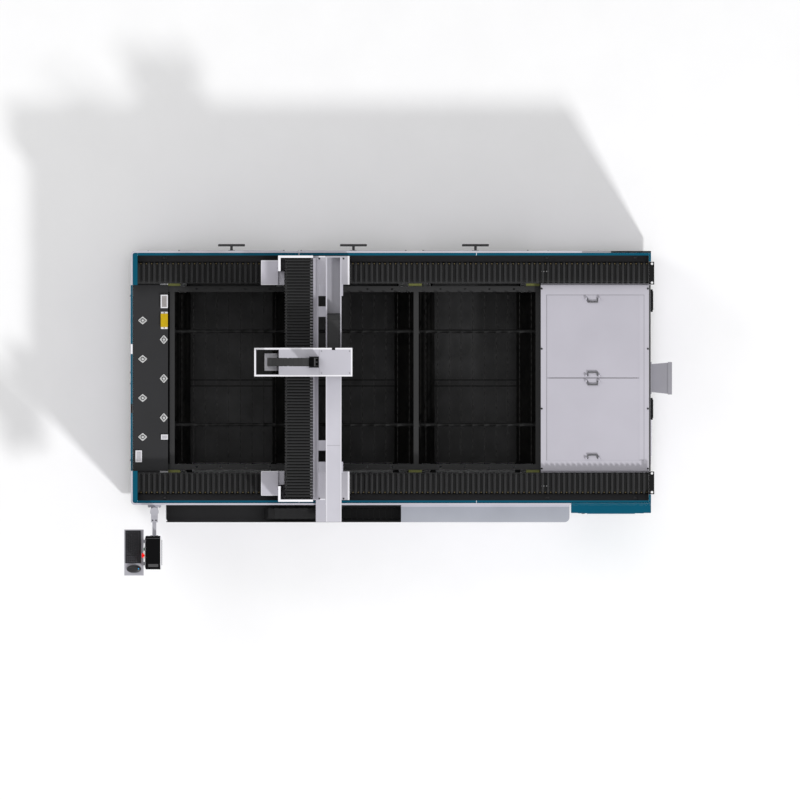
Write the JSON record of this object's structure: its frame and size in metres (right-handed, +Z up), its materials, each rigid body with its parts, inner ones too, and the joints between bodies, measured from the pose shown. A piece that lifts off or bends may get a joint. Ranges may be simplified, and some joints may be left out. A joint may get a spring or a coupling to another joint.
{
  "type": "fiber laser cutting machine",
  "caption": "Open flat-bed fiber laser cutting machine: a gantry carries the cutting head over slatted scrap bays, with pull-out drawers and a swinging operator console.",
  "frame": {"origin": "on the floor below the middle of the machine's bounding box", "axes": "+X along the bed from the loading end to the exhaust end, +Y to the rear where the drawers pull out, +Z up"},
  "size_m": [4.9292, 2.9831, 1.953],
  "materials": {
    "light_paint": "satin",
    "panel_paint": "satin",
    "teal_paint": "satin",
    "dark_paint": "satin",
    "rail_steel": "satin",
    "gutter_dark": "satin",
    "table_dark": "satin",
    "slat_steel": "satin",
    "rod_steel": "satin",
    "olive_paint": "satin",
    "chute_dark": "satin",
    "drawer_dark": "satin",
    "plate_dark": "satin",
    "transfer_steel": "satin",
    "stop_paint": "matte",
    "deck_paint": "satin",
    "lid_paint": "satin",
    "black_metal": "satin",
    "cabinet_paint": "satin",
    "duct_metal": "satin",
    "tray_black": "satin",
    "platform_paint": "satin",
    "bellows_fabric": "matte",
    "beam_bellows_fabric": "matte",
    "chain_plastic": "matte",
    "cast_grey": "satin",
    "motor_black": "satin",
    "pinion_steel": "satin",
    "cover_paint": "satin",
    "trunk_paint": "satin",
    "hood_paint": "satin",
    "head_black": "satin",
    "console_paint": "satin",
    "enclosure_black": "satin",
    "key_plastic": "matte",
    "mouse_plastic": "matte",
    "red_plastic": "satin",
    "green_plastic": "satin"
  },
  "bodies": {
    "bed": {"base_frame": "dark_paint", "leveling_feet": "black_metal", "rail_beams": "panel_paint", "rail_gutters": "gutter_dark", "x_ways": "rail_steel", "side_panels": "panel_paint", "end_panels": "panel_paint", "teal_parts": "teal_paint", "table_frame": "table_dark", "slats": "slat_steel", "slat_rods": "rod_steel", "lugs": "olive_paint", "chute_sides": "chute_dark", "loading_plate": "plate_dark", "ball_transfers": "transfer_steel", "stop_blocks": "stop_paint", "rear_deck": "deck_paint", "lids": "lid_paint", "power_units": "cabinet_paint", "duct": "duct_metal", "end_fittings": "black_metal", "x_tray": "tray_black", "x_platform": "platform_paint", "way_bellows_left": "bellows_fabric", "way_bellows_right": "bellows_fabric", "x_chain": "chain_plastic", "console_bracket": "console_paint"},
    "drawer_1": {"drawer_1": "drawer_dark"},
    "drawer_2": {"drawer_2": "drawer_dark"},
    "drawer_3": {"drawer_3": "drawer_dark"},
    "bail_1": {"bail_1": "rod_steel"},
    "bail_2": {"bail_2": "rod_steel"},
    "bail_3": {"bail_3": "rod_steel"},
    "bail_4": {"bail_4": "rod_steel"},
    "gantry": {"saddles": "cast_grey", "x_motors": "motor_black", "motor_covers": "cover_paint", "beam": "light_paint", "end_boxes": "cover_paint", "y_ways": "rail_steel", "cable_trunk": "trunk_paint", "beam_bellows_rear": "beam_bellows_fabric", "beam_bellows_front": "beam_bellows_fabric", "y_chain": "chain_plastic"},
    "x_pinion_rear": {"x_pinion_rear": "pinion_steel"},
    "x_pinion_front": {"x_pinion_front": "pinion_steel"},
    "head": {"carriage": "cast_grey", "head_drives": "motor_black", "hood": "hood_paint", "z_chain": "chain_plastic"},
    "y_pinion": {"y_pinion": "pinion_steel"},
    "z_screw": {"z_screw": "rail_steel"},
    "z_slide": {"z_slide": "cast_grey", "cutting_head": "head_black"},
    "console": {"console_arm": "console_paint", "console_enclosure": "enclosure_black", "keyboard": "key_plastic", "mouse": "mouse_plastic"},
    "estop": {"estop": "red_plastic"},
    "start_button": {"start_button": "green_plastic"}
  },
  "joints": [
    {"name": "gantry_slide", "type": "slide", "parent": "bed", "child": "gantry", "axis": [1, 0, 0], "range_m": [-0.8, 2.25], "deforming": ["way_bellows_left", "way_bellows_right", "x_chain"]},
    {"name": "head_slide", "type": "slide", "parent": "gantry", "child": "head", "axis": [0, 1, 0], "range_m": [-0.905, 0.62], "deforming": ["beam_bellows_rear", "beam_bellows_front", "y_chain"]},
    {"name": "z_move", "type": "slide", "parent": "head", "child": "z_slide", "axis": [0, 0, 1], "range_m": [-0.11, 0], "deforming": ["z_chain"]},
    {"name": "z_screw_spin", "type": "hinge", "parent": "head", "child": "z_screw", "pos_m": [-1.078, 0.429, 1.2], "axis": [0, 0, 1], "continuous": true},
    {"name": "x_pinion_rear_spin", "type": "hinge", "parent": "gantry", "child": "x_pinion_rear", "pos_m": [-1.157, 1.226, 0.913], "axis": [0, 0, 1], "continuous": true},
    {"name": "x_pinion_front_spin", "type": "hinge", "parent": "gantry", "child": "x_pinion_front", "pos_m": [-1.157, -0.654, 0.913], "axis": [0, 0, 1], "continuous": true},
    {"name": "y_pinion_spin", "type": "hinge", "parent": "head", "child": "y_pinion", "pos_m": [-0.838, 0.429, 1.351], "axis": [0, 0, 1], "continuous": true},
    {"name": "console_swing", "type": "hinge", "parent": "bed", "child": "console", "pos_m": [-2.194, -0.917, 1], "axis": [0, 0, 1], "range_deg": [-45, 45]},
    {"name": "estop_press", "type": "slide", "parent": "console", "child": "estop", "axis": [1, 0, 0], "range_m": [0, 0.004], "stiffness_N_per_m": 3000},
    {"name": "start_press", "type": "slide", "parent": "console", "child": "start_button", "axis": [1, 0, 0], "range_m": [0, 0.003], "stiffness_N_per_m": 1200},
    {"name": "drawer_1_slide", "type": "slide", "parent": "bed", "child": "drawer_1", "axis": [0, 1, 0], "range_m": [0, 1.25]},
    {"name": "drawer_2_slide", "type": "slide", "parent": "bed", "child": "drawer_2", "axis": [0, 1, 0], "range_m": [0, 1.25]},
    {"name": "drawer_3_slide", "type": "slide", "parent": "bed", "child": "drawer_3", "axis": [0, 1, 0], "range_m": [0, 1.25]},
    {"name": "bail_1_lift", "type": "hinge", "parent": "bed", "child": "bail_1", "pos_m": [1.751, 1.001, 0.934], "axis": [-1, 0, 0], "range_deg": [0, 100]},
    {"name": "bail_2_lift", "type": "hinge", "parent": "bed", "child": "bail_2", "pos_m": [1.751, 0.306, 0.934], "axis": [1, 0, 0], "range_deg": [0, 100]},
    {"name": "bail_3_lift", "type": "hinge", "parent": "bed", "child": "bail_3", "pos_m": [1.751, 0.257, 0.934], "axis": [-1, 0, 0], "range_deg": [0, 100]},
    {"name": "bail_4_lift", "type": "hinge", "parent": "bed", "child": "bail_4", "pos_m": [1.751, -0.438, 0.934], "axis": [1, 0, 0], "range_deg": [0, 100]}
  ],
  "couplings": [
    {"joint": "x_pinion_rear_spin", "follows": "gantry_slide", "rad_per_m": -25},
    {"joint": "x_pinion_front_spin", "follows": "gantry_slide", "rad_per_m": 25},
    {"joint": "y_pinion_spin", "follows": "head_slide", "rad_per_m": -27.778},
    {"joint": "z_screw_spin", "follows": "z_move", "rad_per_m": 628.32}
  ]
}
